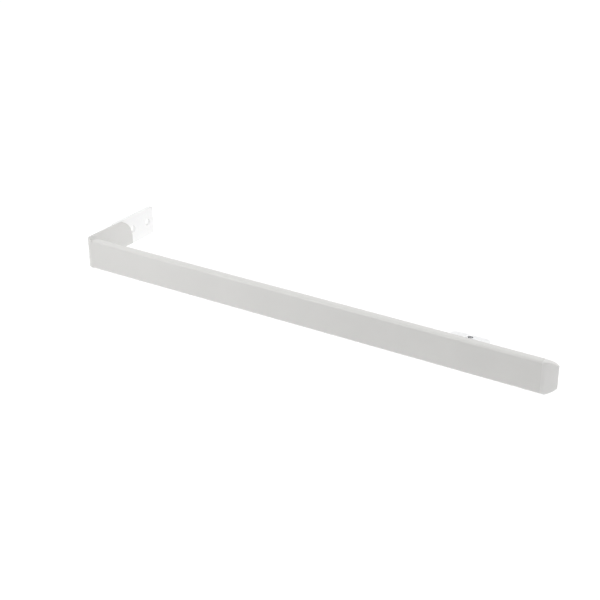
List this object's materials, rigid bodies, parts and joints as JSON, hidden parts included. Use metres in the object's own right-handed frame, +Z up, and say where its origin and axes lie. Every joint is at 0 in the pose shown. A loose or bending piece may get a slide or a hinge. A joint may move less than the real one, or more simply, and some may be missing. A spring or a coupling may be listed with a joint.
{
  "type": "shelf front rail with side bracket",
  "caption": "Slim white steel rail bent at one end into a side bracket with screw holes, with a moulded cap and a threaded rear lug at the other end.",
  "frame": {"origin": "middle of the two side holes, on the fixing plate's outer face, which lies against the side wall", "axes": "+X along the rail towards the end cap, +Y back towards the wall behind, +Z up"},
  "size_m": [0.5, 0.108, 0.03],
  "materials": {
    "white_coat": "satin white powder coat",
    "plate_coat": "brighter, cooler satin white powder coat",
    "white_plastic": "fine satin moulded",
    "bright_zinc": "bright zinc plating",
    "zinc_steel": "dull zinc plating"
  },
  "bodies": {
    "root": {"front_rail": "white_coat", "fixing_plate": "plate_coat", "plate_rivets": "white_coat", "end_cap": "white_plastic", "rear_lug": "bright_zinc", "weld_nut": "zinc_steel"}
  },
  "joints": []
}
